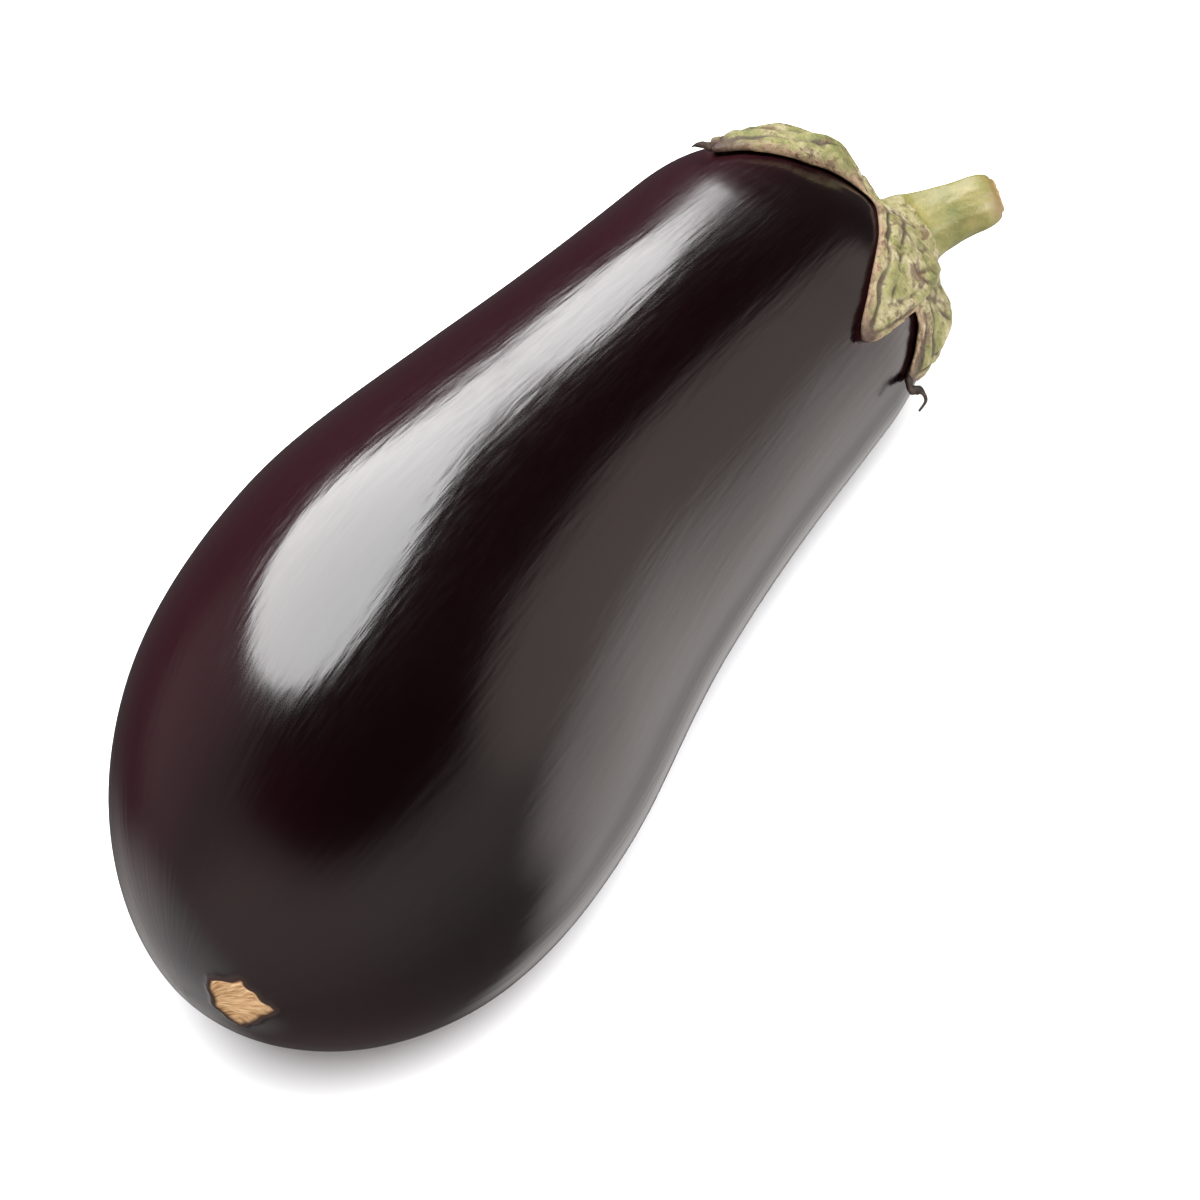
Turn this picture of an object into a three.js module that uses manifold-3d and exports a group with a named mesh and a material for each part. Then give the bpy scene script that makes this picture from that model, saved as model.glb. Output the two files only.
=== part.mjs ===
// An eggplant as picked, lying on its side: the fruit, its calyx of five fused sepals, and the cut stem.
// Millimetres, +Z up. +X runs along the fruit towards the stem. The origin is the middle of the flat spot
// on the belly that the fruit rests on.
import * as THREE from 'three';
import { mergeVertices } from 'three/addons/utils/BufferGeometryUtils.js';
import Module from 'manifold-3d';

// Driving dimensions of the fruit: stations along its axis from the blossom end, and the radius there
const FRUIT_LENGTH = 193.5;
const BELLY = { station: 63.5, radius: 46.6 };
const SHOULDER = { station: 168, radius: 32, slope: -0.1 };

// How far each stretch of the outline leaves its ends straight, before it curves
const BLOSSOM_EASE = 20;
const BELLY_EASE = { before: 42, after: 27 };
const SHOULDER_EASE = { before: 74, after: 13 };
const TOP_EASE = 25;

// Below the neck the axis bends sideways, and a little up, by so much for each millimetre of its length
const BEND = { station: 109, softness: 9, side: 0.115, up: 0.031 };

// How it lies: rolled about its own axis, and leaning down towards the stem until the calyx touches
const ROLL = THREE.MathUtils.degToRad(120);
const LEAN = THREE.MathUtils.degToRad(7.2);
const FLAT_DEPTH = 1;

// The calyx's rim: each tip and notch by its angle round the axis, and its reach down the skin from the top
const RIM = [
  { angle: -170, reach: 24 },
  { angle: -131, reach: 46 },
  { angle: -92, reach: 22 },
  { angle: -52, reach: 44 },
  { angle: -12, reach: 23.5 },
  { angle: 30, reach: 43.5 },
  { angle: 47, reach: 35 },
  { angle: 58, reach: 49.5 },
  { angle: 92, reach: 20 },
  { angle: 146, reach: 38 },
  { angle: 190, reach: 24 },
];
const CALYX = { gap: 0.6, rimThickness: 2, crownThickness: 4.4, puff: 1.6 };

// The stem's centre line in the fruit's own axes, and its radius from the flared root to the cut end. It
// stands a little to one side of the crown's middle
const STEM_LINE = new THREE.CubicBezierCurve3(
  new THREE.Vector3(FRUIT_LENGTH + 6.1, 0.5, 9.2),
  new THREE.Vector3(FRUIT_LENGTH + 10, 0.8, 10.4),
  new THREE.Vector3(FRUIT_LENGTH + 16, 4.5, 13.2),
  new THREE.Vector3(FRUIT_LENGTH + 22, 7.5, 16.3),
);
// The flare and the rounded edge of the end are shares of the stem's length, the edge's drop one of its radius
const STEM = { rootRadius: 8, radius: 6, endRadius: 5.3, flare: 0.4, edge: 0.2, edgeDrop: 0.34 };

// How finely each surface is divided, and the search for the lowest point
const LOWEST_STEPS = 600;
const LOWEST_SIDES = 360;
const FRUIT_STEPS = 48;
const FRUIT_SIDES = 44;
const CALYX_STEPS = 10;
const CALYX_SIDES = 60;
const STEM_STEPS = 16;
const STEM_SIDES = 16;
const FLOOR_BLOCK = 400;

const wasm = await Module();
wasm.setup();

// The outline of the fruit's skin: x is the radius and y the station, from the blossom end to the top
const outline = new THREE.Path();
outline.moveTo(0, 0);
outline.bezierCurveTo(
  BLOSSOM_EASE, 0,
  BELLY.radius, BELLY.station - BELLY_EASE.before,
  BELLY.radius, BELLY.station,
);
outline.bezierCurveTo(
  BELLY.radius, BELLY.station + BELLY_EASE.after,
  SHOULDER.radius - SHOULDER.slope * SHOULDER_EASE.before, SHOULDER.station - SHOULDER_EASE.before,
  SHOULDER.radius, SHOULDER.station,
);
outline.bezierCurveTo(
  SHOULDER.radius + SHOULDER.slope * SHOULDER_EASE.after, SHOULDER.station + SHOULDER_EASE.after,
  TOP_EASE, FRUIT_LENGTH,
  0, FRUIT_LENGTH,
);

// A point in the fruit's own axes: X along the axis, and angles round it from +Z towards +Y
function roundAxis(radius, station, angle) {
  const bend = BEND.softness * Math.log1p(Math.exp((BEND.station - station) / BEND.softness));
  return new THREE.Vector3(
    station,
    BEND.up * bend + radius * Math.sin(angle),
    BEND.side * bend + radius * Math.cos(angle),
  );
}

// A point that stands off the skin by a height, at a distance down the skin from the top
function overSkin(reach, height, angle) {
  const along = 1 - reach / outline.getLength();
  const skin = outline.getPoint(along);
  const tangent = outline.getTangent(along);
  const radius = reach > 0 ? skin.x + height * tangent.y : 0;
  return roundAxis(radius, skin.y - height * tangent.x, angle);
}

// Turns a profile into a closed surface, and puts each of its points where place says
function turned(profile, sides, place) {
  const geometry = new THREE.LatheGeometry(profile, sides);
  const at = geometry.attributes.position;
  for (let i = 0; i < at.count; i++) {
    const radius = Math.hypot(at.getX(i), at.getZ(i));
    const angle = Math.atan2(-at.getX(i), at.getZ(i));
    const point = place(radius, at.getY(i), angle);
    at.setXYZ(i, point.x, point.y, point.z);
  }
  geometry.deleteAttribute('normal');
  geometry.deleteAttribute('uv');
  return mergeVertices(geometry, 1e-3);
}

function toSolid(geometry) {
  return new wasm.Manifold(new wasm.Mesh({
    numProp: 3,
    vertProperties: new Float32Array(geometry.attributes.position.array),
    triVerts: new Uint32Array(geometry.index.array),
  }));
}

function toGeometry(solid) {
  const mesh = solid.getMesh();
  const geometry = new THREE.BufferGeometry();
  geometry.setAttribute('position', new THREE.BufferAttribute(mesh.vertProperties, 3));
  geometry.setIndex(new THREE.BufferAttribute(mesh.triVerts, 1));
  geometry.computeVertexNormals();
  return geometry;
}

// The group that lies on the floor: its lowest point on the skin goes to the origin, less the flat's depth
function lyingGroup() {
  const group = new THREE.Group();
  group.rotation.set(ROLL, LEAN, 0, 'YXZ');
  group.updateMatrix();
  let lowest = new THREE.Vector3(0, 0, Infinity);
  for (let step = 0; step <= LOWEST_STEPS; step++) {
    const skin = outline.getPoint(step / LOWEST_STEPS);
    for (let side = 0; side < LOWEST_SIDES; side++) {
      const angle = side / LOWEST_SIDES * 2 * Math.PI;
      const point = roundAxis(skin.x, skin.y, angle).applyMatrix4(group.matrix);
      if (point.z < lowest.z) lowest = point;
    }
  }
  group.position.set(-lowest.x, -lowest.y, -lowest.z - FLAT_DEPTH);
  group.updateMatrix();
  return group;
}

const lying = lyingGroup();
const floor = new THREE.BoxGeometry(FLOOR_BLOCK, FLOOR_BLOCK, FLOOR_BLOCK);
floor.deleteAttribute('normal');
floor.deleteAttribute('uv');
floor.translate(0, 0, -FLOOR_BLOCK / 2);
floor.applyMatrix4(lying.matrix.clone().invert());
const floorSolid = toSolid(mergeVertices(floor, 1e-3));

function fruitGeometry() {
  const profile = [];
  for (let i = 0; i <= FRUIT_STEPS; i++) profile.push(outline.getPoint(i / FRUIT_STEPS));
  profile[0].x = 0;
  profile[FRUIT_STEPS].x = 0;
  const skin = turned(profile, FRUIT_SIDES, (radius, station, angle) => roundAxis(radius, station, angle));
  return toGeometry(toSolid(skin).subtract(floorSolid));
}

// The reach of the calyx's rim at an angle: pointed at each tip, rounded in each notch
function rimReach(angle) {
  const first = RIM[0].angle;
  const degrees = THREE.MathUtils.euclideanModulo(THREE.MathUtils.radToDeg(angle) - first, 360) + first;
  const next = RIM.findIndex((mark) => mark.angle > degrees);
  const [before, after] = [RIM[next - 1], RIM[next]];
  const share = (degrees - before.angle) / (after.angle - before.angle);
  const [tip, notch, fromTip] = before.reach > after.reach
    ? [before, after, share]
    : [after, before, 1 - share];
  return THREE.MathUtils.lerp(tip.reach, notch.reach, Math.sin(fromTip * Math.PI / 2));
}

// A cap of sepals that follows the skin: its underside keeps a gap, and its outer face puffs up between
// the stem and the rim
function calyxGeometry() {
  const profile = [];
  for (let i = 0; i <= CALYX_STEPS; i++) profile.push(new THREE.Vector2(i / CALYX_STEPS, 0));
  for (let i = CALYX_STEPS; i >= 0; i--) profile.push(new THREE.Vector2(i / CALYX_STEPS, 1));
  const place = (share, face, angle) => {
    const thickness = THREE.MathUtils.lerp(CALYX.crownThickness, CALYX.rimThickness, share)
      + CALYX.puff * Math.sin(Math.PI * share) ** 2;
    return overSkin(share * rimReach(angle), CALYX.gap + face * thickness, angle);
  };
  const cap = turned(profile, CALYX_SIDES, place);
  return toGeometry(toSolid(cap).subtract(floorSolid));
}

function stemRadius(share) {
  const flare = Math.max(0, 1 - share / STEM.flare) ** 2;
  const plain = THREE.MathUtils.lerp(STEM.radius, STEM.endRadius, share);
  const fromEdge = Math.min(1, (1 - share) / STEM.edge);
  const rounding = 1 - STEM.edgeDrop * (1 - Math.sqrt(1 - (1 - fromEdge) ** 2));
  return (plain + (STEM.rootRadius - STEM.radius) * flare) * rounding;
}

// A round stem that flares at its root and follows its bent centre line to the cut end
function stemGeometry() {
  const frames = STEM_LINE.computeFrenetFrames(STEM_STEPS, false);
  const profile = [new THREE.Vector2(0, 0)];
  for (let i = 0; i <= STEM_STEPS; i++) profile.push(new THREE.Vector2(stemRadius(i / STEM_STEPS), i));
  profile.push(new THREE.Vector2(0, STEM_STEPS));
  return turned(profile, STEM_SIDES, (radius, step, angle) => STEM_LINE.getPointAt(step / STEM_STEPS)
    .addScaledVector(frames.normals[step], radius * Math.sin(angle))
    .addScaledVector(frames.binormals[step], radius * Math.cos(angle)));
}

function piece(name, geometry, color, roughness) {
  geometry.computeVertexNormals();
  const mesh = new THREE.Mesh(geometry, new THREE.MeshStandardMaterial({ color, roughness, metalness: 0 }));
  mesh.name = name;
  return mesh;
}

lying.add(
  piece('fruit', fruitGeometry(), 0x1f0d14, 0.22),
  piece('calyx', calyxGeometry(), 0x97984f, 0.75),
  piece('stem', stemGeometry(), 0x9aa04a, 0.65),
);

const eggplant = new THREE.Group();
eggplant.add(lying);

export default eggplant;
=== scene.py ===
# %% [markdown]
# # An eggplant on a white sweep
#
# The object is one eggplant, lying on its side, seen from above at a slant. It has three grown pieces: the
# glossy fruit, the calyx (the green cap of sepals) and the cut stem. Each one starts from the same few sizes
# as its CAD solid, so it lands in the same place, and then gets the relief and the finish that only show
# close up. We work in millimetres in the fruit's own axes, and turn to metres in the lying pose at the end.

# %% Load the fixed frame
import math
import bpy
import numpy as np
from mathutils import Matrix, Vector, noise


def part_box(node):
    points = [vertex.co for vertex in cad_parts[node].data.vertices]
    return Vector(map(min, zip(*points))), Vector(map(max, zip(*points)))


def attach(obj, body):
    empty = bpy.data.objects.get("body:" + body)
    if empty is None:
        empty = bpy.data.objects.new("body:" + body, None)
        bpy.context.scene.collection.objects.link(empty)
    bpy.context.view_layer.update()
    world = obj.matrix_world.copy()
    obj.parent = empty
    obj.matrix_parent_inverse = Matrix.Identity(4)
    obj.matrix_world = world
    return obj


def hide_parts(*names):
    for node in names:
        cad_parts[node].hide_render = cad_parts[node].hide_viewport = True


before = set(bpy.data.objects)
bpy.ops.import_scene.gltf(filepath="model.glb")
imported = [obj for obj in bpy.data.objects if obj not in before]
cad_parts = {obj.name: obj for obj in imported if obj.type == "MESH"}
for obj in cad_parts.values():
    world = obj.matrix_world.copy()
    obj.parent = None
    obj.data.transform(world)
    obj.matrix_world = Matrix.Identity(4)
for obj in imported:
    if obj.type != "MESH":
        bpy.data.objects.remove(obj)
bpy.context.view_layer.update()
MM = 0.001

# %% [markdown]
# ## The outline of the fruit
#
# A fruit that grew round an axis is easiest to make as a turned shape: one outline, swung round the axis.
# The outline here is three cubic curves, from the blossom end over the belly and the shoulder to the top.
# A modelled box with a subdivision modifier could give a like shape, but the sepals have to follow the skin
# exactly, and for that a formula is better: it gives the skin's place and slope at any point.

# %% The outline as stations along the axis and radii, in millimetres
FRUIT_LENGTH = 193.5
BELLY_STATION, BELLY_RADIUS = 63.5, 46.6
SHOULDER_STATION, SHOULDER_RADIUS, SHOULDER_SLOPE = 168, 32, -0.1
BLOSSOM_EASE, TOP_EASE = 20, 25
BELLY_EASE_BEFORE, BELLY_EASE_AFTER = 42, 27
SHOULDER_EASE_BEFORE, SHOULDER_EASE_AFTER = 74, 13


def cubic(a, b, c, d, steps=600):
    t = np.linspace(0, 1, steps)[:, None]
    a, b, c, d = (np.array(p, float) for p in (a, b, c, d))
    return (1 - t) ** 3 * a + 3 * (1 - t) ** 2 * t * b + 3 * (1 - t) * t**2 * c + t**3 * d


def unit(vectors):
    return vectors / np.linalg.norm(vectors, axis=-1, keepdims=True)


shoulder = (SHOULDER_RADIUS, SHOULDER_STATION)
outline = np.vstack([
    cubic((0, 0), (BLOSSOM_EASE, 0), (BELLY_RADIUS, BELLY_STATION - BELLY_EASE_BEFORE),
          (BELLY_RADIUS, BELLY_STATION)),
    cubic((BELLY_RADIUS, BELLY_STATION), (BELLY_RADIUS, BELLY_STATION + BELLY_EASE_AFTER),
          (SHOULDER_RADIUS - SHOULDER_SLOPE * SHOULDER_EASE_BEFORE, SHOULDER_STATION - SHOULDER_EASE_BEFORE),
          shoulder)[1:],
    cubic(shoulder,
          (SHOULDER_RADIUS + SHOULDER_SLOPE * SHOULDER_EASE_AFTER, SHOULDER_STATION + SHOULDER_EASE_AFTER),
          (TOP_EASE, FRUIT_LENGTH), (0, FRUIT_LENGTH))[1:],
])
walked = np.concatenate([[0], np.cumsum(np.linalg.norm(np.diff(outline, axis=0), axis=1))])
SKIN_LENGTH = walked[-1]
heading = unit(np.gradient(outline, walked, axis=0))
print("from pole to pole over the skin:", round(SKIN_LENGTH, 1), "mm")

# %% [markdown]
# ## Places on the skin
#
# Every later step asks the same question: where is the point at this distance down the skin, at this angle
# round the fruit, this high above the skin? Small functions answer it. The axis isn't straight: below the
# neck it bends to one side, as a hanging fruit does when it grows against a leaf or the ground. A soft hollow
# at the top of the neck belongs to the skin's shape too, so that the calyx follows it. Last, the fruit is
# rolled and leaned into the pose in which it lies, and set down so that its weight presses a small flat spot
# into the belly.

# %% From skin distances and angles to points, and from the fruit's axes to the floor's
BEND_STATION, BEND_SOFTNESS = 109, 9
BEND_SIDE, BEND_UP = 0.115, 0.031
ROLL, LEAN = math.radians(120), math.radians(7.2)
FLAT_DEPTH = 1
# The hollow: its angle, width in radians and depth, then the station where it starts, the length over which
# it deepens, and the one over which it ends before the top
HOLLOW_ANGLE, HOLLOW_WIDTH, HOLLOW_DEPTH = math.radians(115), 0.42, 1.2
HOLLOW_START, HOLLOW_DEEPENS, HOLLOW_ENDS = 146, 28, 8


def all_round(count):
    return np.arange(count) * 2 * math.pi / count


def turned_from(angle, other):
    """How far an angle is from another one, the short way round."""
    return (angle - other + math.pi) % (2 * math.pi) - math.pi


def bell(value, width):
    """1 where the value is 0, falling off on both sides of it."""
    return np.exp(-((value / width) ** 2))


def round_axis(radius, station, angle):
    bend = BEND_SOFTNESS * np.log1p(np.exp((BEND_STATION - station) / BEND_SOFTNESS))
    return np.stack(np.broadcast_arrays(
        station,
        BEND_UP * bend + radius * np.sin(angle),
        BEND_SIDE * bend + radius * np.cos(angle),
    ), axis=-1)


def skin_at(down):
    """Radius and station of the skin, and its outward slope in both, at a distance down from the top."""
    along = SKIN_LENGTH - down
    radius, station, lead_r, lead_s = (
        np.interp(along, walked, column) for column in (*outline.T, *heading.T)
    )
    return radius, station, lead_s, -lead_r


def over_skin(down, height, angle):
    radius, station, out_r, out_s = skin_at(down)
    deepened = np.clip((station - HOLLOW_START) / HOLLOW_DEEPENS, 0, 1)
    not_ended = np.clip((FRUIT_LENGTH - station) / HOLLOW_ENDS, 0, 1)
    hollow = HOLLOW_DEPTH * (deepened * not_ended)**2 * bell(turned_from(angle, HOLLOW_ANGLE), HOLLOW_WIDTH)
    height = height - hollow
    return round_axis(radius + height * out_r, station + height * out_s, angle)


roll_then_lean = np.array(Matrix.Rotation(LEAN, 3, "Y") @ Matrix.Rotation(ROLL, 3, "X"))
search_down, search_angle = np.meshgrid(np.linspace(0, SKIN_LENGTH, 601), all_round(360), indexing="ij")
standing = over_skin(search_down, 0, search_angle) @ roll_then_lean.T
lowest = standing.reshape(-1, 3)[standing[..., 2].argmin()]
set_down = np.array([-lowest[0], -lowest[1], -lowest[2] - FLAT_DEPTH])


def lay_down(points):
    """Fruit axes to the floor's axes. Nothing goes below the floor: what would is pressed flat on it."""
    laid = points @ roll_then_lean.T + set_down
    laid[..., 2] = np.maximum(laid[..., 2], 0)
    return laid


skin_box = lay_down(over_skin(search_down, 0, search_angle)).reshape(-1, 3)
cad_fruit_low, cad_fruit_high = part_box("fruit")
print("skin from the formula:", skin_box.min(0).round(2), skin_box.max(0).round(2))
print("skin of the CAD solid:", [round(v / MM, 2) for v in (*cad_fruit_low, *cad_fruit_high)])

# %% [markdown]
# ## Turning rings of points into a mesh
#
# All the pieces are tubes in a wide sense: rings of points, one after another, closed by a point at each
# end. One function makes such a mesh, and stores values with the points that the materials read later, such
# as the distance to the rim. That is the way to paint a grown thing: the colour follows the shape.

# %% A closed mesh from rings, with values stored on its points
def ring_mesh(name, rings, first, last, values):
    count, sides = rings.shape[:2]
    points = np.vstack([first[None], rings.reshape(-1, 3), last[None]])
    corner = 1 + np.arange(count * sides).reshape(count, sides)
    beside = np.roll(corner, -1, axis=1)
    quads = np.stack([corner[:-1], beside[:-1], beside[1:], corner[1:]], axis=-1).reshape(-1, 4)
    tip = len(points) - 1
    start_fan = [(0, b, a) for a, b in zip(corner[0], beside[0])]
    end_fan = [(tip, a, b) for a, b in zip(corner[-1], beside[-1])]
    mesh = bpy.data.meshes.new(name)
    mesh.from_pydata((lay_down(points) * MM).tolist(), [], quads.tolist() + start_fan + end_fan)
    mesh.shade_smooth()
    for key, value in values.items():
        flat = np.asarray(value, float).reshape(count * sides, -1)
        padded = np.vstack([flat[:sides].mean(0), flat, flat[-sides:].mean(0)])
        kind, slot_name = ("FLOAT", "value") if padded.shape[1] == 1 else ("FLOAT_VECTOR", "vector")
        mesh.attributes.new(key, kind, "POINT").data.foreach_set(slot_name, padded.ravel())
    piece = bpy.data.objects.new(name, mesh)
    bpy.context.scene.collection.objects.link(piece)
    print(name, "has", len(mesh.polygons), "faces")
    return piece


def lumps(points, size, shift=0.0):
    """Smooth random heights, -1 to 1, whose bumps are about one size across."""
    flat = points.reshape(-1, 3) / size + shift
    return np.array([noise.noise(Vector(p)) for p in flat]).reshape(points.shape[:-1])


def ease(low, high, value):
    """0 up to the low value, rising smoothly to 1 at the high one."""
    share = np.clip((value - low) / (high - low), 0, 1)
    return share * share * (3 - 2 * share)


# %% [markdown]
# ## The calyx's rim
#
# Five sepals, fused at their base, end in tips with notches between them. Each tip and notch is given by its
# angle and by its reach down the skin, from the photograph where it shows. Between them the rim runs straight
# off the tip and rounds into the notch, which a quarter of a sine wave does.

# %% Tips and notches of the rim
RIM = [
    (-170, 24), (-131, 46), (-92, 22), (-52, 44), (-12, 23.5), (30, 43.5), (47, 35), (58, 49.5),
    (92, 20), (146, 38), (190, 24),
]
rim_angles, rim_reaches = np.array(RIM, float).T
TIPS = list(range(1, len(RIM), 2))
# How blunt each tip is, as a share of the way to the notch
BLUNT_TIPS = {-131: 0.05, -52: 0.08, 30: 0.06, 58: 0.5, 146: 0.05}


def rim_reach(angle):
    """The rim's reach at an angle, and how far on from the tip to the notch the angle is, 0 to 1."""
    degrees = (np.degrees(angle) - rim_angles[0]) % 360 + rim_angles[0]
    after = np.clip(np.searchsorted(rim_angles, degrees, side="right"), 1, len(RIM) - 1)
    share = (degrees - rim_angles[after - 1]) / (rim_angles[after] - rim_angles[after - 1])
    tip_after = rim_reaches[after] > rim_reaches[after - 1]
    from_tip = np.where(tip_after, 1 - share, share)
    tip = np.maximum(rim_reaches[after], rim_reaches[after - 1])
    notch = np.minimum(rim_reaches[after], rim_reaches[after - 1])
    tip_angle = np.where(tip_after, rim_angles[after], rim_angles[after - 1])
    blunt = np.select([tip_angle == mark for mark in BLUNT_TIPS], list(BLUNT_TIPS.values()))
    off_tip = (np.hypot(from_tip, blunt) - blunt) / (np.hypot(1, blunt) - blunt)
    return tip + (notch - tip) * np.sin(off_tip * math.pi / 2), from_tip


print("sepal tips at", [RIM[mark][0] for mark in TIPS], "degrees")

# %% [markdown]
# ## The fruit's skin
#
# The skin is a fine grid over the turned shape. Real skin isn't perfectly even: shallow dents a few tenths
# of a millimetre deep give a highlight its wavy edge, and the neck is faintly six-sided, which makes the
# highlight wide on its flats. Both are in the mesh. So is the corky scar where the flower sat: a flat,
# slightly sunken patch with a raised lip. Rows are closer together at that end, because the scar needs them.

# %% Relief of the skin, and the blossom scar
SKIN_SIDES = 224
BLOSSOM_ROWS, BODY_ROWS = 110, 240
BLOSSOM_REACH = 30
# How far off each pole the first and the last ring stay
BLOSSOM_POLE_GAP, TOP_POLE_GAP = 0.15, 0.5
DENT_SIZE, DENT_DEPTH = 38, 0.42
PIMPLE_SIZE, PIMPLE_DEPTH = 11, 0.045
# The flats of the neck: the stations over which they come and go, and their angle at one of them
FACET_COUNT, FACET_DEPTH = 6, 0.22
FACETS_COME, FACETS_GO = (75, 115), (120, 158)
FACET_STATION, FACET_ANGLE, FACET_TWIST = 110, 124, 0.15
# The blush: round an angle, by the cosine of the distance from it, and over the blossom end, where it is half
BLUSH_ANGLE, BLUSH_COSINES = math.radians(168), (0.5, 0.98)
BLUSH_STATIONS, BLUSH_AT_BLOSSOM = (10, 38), 0.5
# Corners of the scar, in millimetres sideways and up from the blossom pole
SCAR_CORNERS = np.array([(1.6, 10.6), (5.8, 15.0), (13.3, 12.6), (10.6, 3.2), (5.4, 5.2)])
SCAR_SINK, SCAR_LIP, SCAR_GRAIN, SCAR_RAGGED = 0.35, 0.4, 0.12, 0.5
NO_SCAR = -9


def inside_by(points, corners):
    """How far points are inside a polygon that runs clockwise; negative outside it."""
    away, inside = np.full(points.shape[:-1], np.inf), np.ones(points.shape[:-1], bool)
    for a, b in zip(corners, np.roll(corners, -1, axis=0)):
        edge, to = b - a, points - a
        near = np.clip((to @ edge) / (edge @ edge), 0, 1)
        away = np.minimum(away, np.linalg.norm(to - near[..., None] * edge, axis=-1))
        inside &= edge[0] * to[..., 1] - edge[1] * to[..., 0] < 0
    return np.where(inside, away, -away)


blossom_rows = np.linspace(SKIN_LENGTH - BLOSSOM_POLE_GAP, SKIN_LENGTH - BLOSSOM_REACH, BLOSSOM_ROWS)
body_rows = np.linspace(SKIN_LENGTH - BLOSSOM_REACH, TOP_POLE_GAP, BODY_ROWS)[1:]
skin_down, skin_angle = np.meshgrid(
    np.concatenate([blossom_rows, body_rows]), all_round(SKIN_SIDES), indexing="ij")
smooth_skin = over_skin(skin_down, 0, skin_angle)
radius, station, _, _ = skin_at(skin_down)
dents = DENT_DEPTH * lumps(smooth_skin, DENT_SIZE)
pimples = PIMPLE_DEPTH * lumps(smooth_skin * (0.5, 1, 1), PIMPLE_SIZE, 5.0)
flat_at = np.radians(FACET_ANGLE + FACET_TWIST * (station - FACET_STATION))
facet_share = ease(*FACETS_COME, station) * (1 - ease(*FACETS_GO, station))
facets = -FACET_DEPTH * facet_share * np.cos(FACET_COUNT * (skin_angle - flat_at))
from_pole = np.stack([radius * np.cos(skin_angle), radius * np.sin(skin_angle)], axis=-1)
ragged = SCAR_RAGGED * lumps(smooth_skin, 2.2, 4.0)
scar = np.where(station < BELLY_STATION, inside_by(from_pole, SCAR_CORNERS) + ragged, NO_SCAR)
scar_relief = (
    SCAR_LIP * bell(scar + 0.3, 0.7)
    - SCAR_SINK * ease(0, 1.2, scar)
    + SCAR_GRAIN * lumps(smooth_skin, 1.2, 2.0) * ease(-0.5, 0.5, scar)
)
skin_points = over_skin(skin_down, dents + pimples + facets + scar_relief, skin_angle)
past_rim = skin_down - rim_reach(skin_angle)[0]
grain = np.stack([BELLY_RADIUS * np.cos(skin_angle), BELLY_RADIUS * np.sin(skin_angle), station], axis=-1)
blush = ease(*BLUSH_COSINES, np.cos(skin_angle - BLUSH_ANGLE))
blush = np.maximum(blush, BLUSH_AT_BLOSSOM * (1 - ease(*BLUSH_STATIONS, station)))
fruit_skin = ring_mesh(
    "fruit_skin", skin_points, over_skin(SKIN_LENGTH, 0, 0.0), over_skin(0.0, 0, 0.0),
    {"grain": grain, "scar": np.clip(scar, -6, 6), "past_rim": np.clip(past_rim, -20, 60), "blush": blush},
)
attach(fruit_skin, "root")
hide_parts("fruit")

# %% [markdown]
# ## Columns from the hub to the rim
#
# The stem doesn't stand on the middle of the crown: it sits 10 mm to one side, and the midribs spread
# from there. So think of the skin round the top as unrolled flat, with each place at its reach and angle.
# On that flat sheet the calyx is a star, and its hub is the stem. Straight columns of points run from the hub
# to the rim, and bunch up at the narrow sepals, since every stretch from tip to notch gets the same number.

# %% The unrolled star of the calyx
HUB = np.array([10.0, 0.5])
COLUMNS_PER_STRETCH = 42
# How far the rim strays from its line, in millimetres, and the size of the strays, in radians
RIM_STRAYS = [(0.7, 0.11, 0.0), (0.35, 0.04, 3.0)]

rim_angle = np.radians(np.concatenate([
    np.linspace(a, b, COLUMNS_PER_STRETCH, endpoint=False) for a, b in zip(rim_angles[:-1], rim_angles[1:])
]))
reach, from_tip = rim_reach(rim_angle)
round_trip = np.stack([np.cos(rim_angle), np.sin(rim_angle), 0 * rim_angle], axis=-1)
for stray, size, shift in RIM_STRAYS:
    reach = reach + stray * lumps(round_trip, size, shift)
rim_flat = reach[:, None] * round_trip[:, :2]
sides = len(rim_angle)


def from_hub(flat):
    """Direction and distance of a place on the unrolled skin, seen from the hub."""
    off = flat - HUB
    return np.arctan2(off[..., 1], off[..., 0]), np.hypot(off[..., 0], off[..., 1])


def reach_and_angle(flat):
    return np.hypot(flat[..., 0], flat[..., 1]), np.arctan2(flat[..., 1], flat[..., 0])


def over_sheet(flat, height):
    """The point this high above the skin, at a place on the unrolled skin."""
    down, angle = reach_and_angle(flat)
    return over_skin(down, height, angle)


around, column_length = from_hub(rim_flat)
marks_flat = rim_reaches[:, None] * np.stack(
    [np.cos(np.radians(rim_angles)), np.sin(np.radians(rim_angles))], axis=-1)
mark_angles = from_hub(marks_flat)[0]
rib_angles = mark_angles[TIPS]
print("midribs leave the hub at", np.degrees(rib_angles).round(), "degrees")

# %% [markdown]
# ## The stem
#
# The stalk that the fruit hung from is five-sided with soft corners, and each corner runs on into the midrib
# of a sepal. It flares where it meets the calyx, bends to one side, and ends in the cut that freed the
# fruit. A curve object with a bevel can't change its section along the way, so the rings are placed in code:
# each ring stands square to the centre line, and none twists against the one before.

# %% Centre line and section of the stem
STEM_LINE = np.array([
    (FRUIT_LENGTH + 8.4, 0.5, 10.2), (FRUIT_LENGTH + 11.5, 0.9, 11),
    (FRUIT_LENGTH + 16, 4.5, 13.2), (FRUIT_LENGTH + 22, 7.5, 16.3),
])
STEM_ROOT_RADIUS, STEM_END_RADIUS = 7.6, 5.3
STEM_RIB_ROOT, STEM_RIB_END = 1.0, 0.3
STEM_ROWS = 84
CORNER_WIDTH = math.radians(15)
END_ROUNDING, END_DROP = 0.2, 0.36
# The rind's ridges and its softer lumps: how high and how large
RIDGE_HEIGHT, RIDGE_SIZE = 0.13, 0.9
LUMP_HEIGHT, LUMP_SIZE = 0.3, 6


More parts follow.
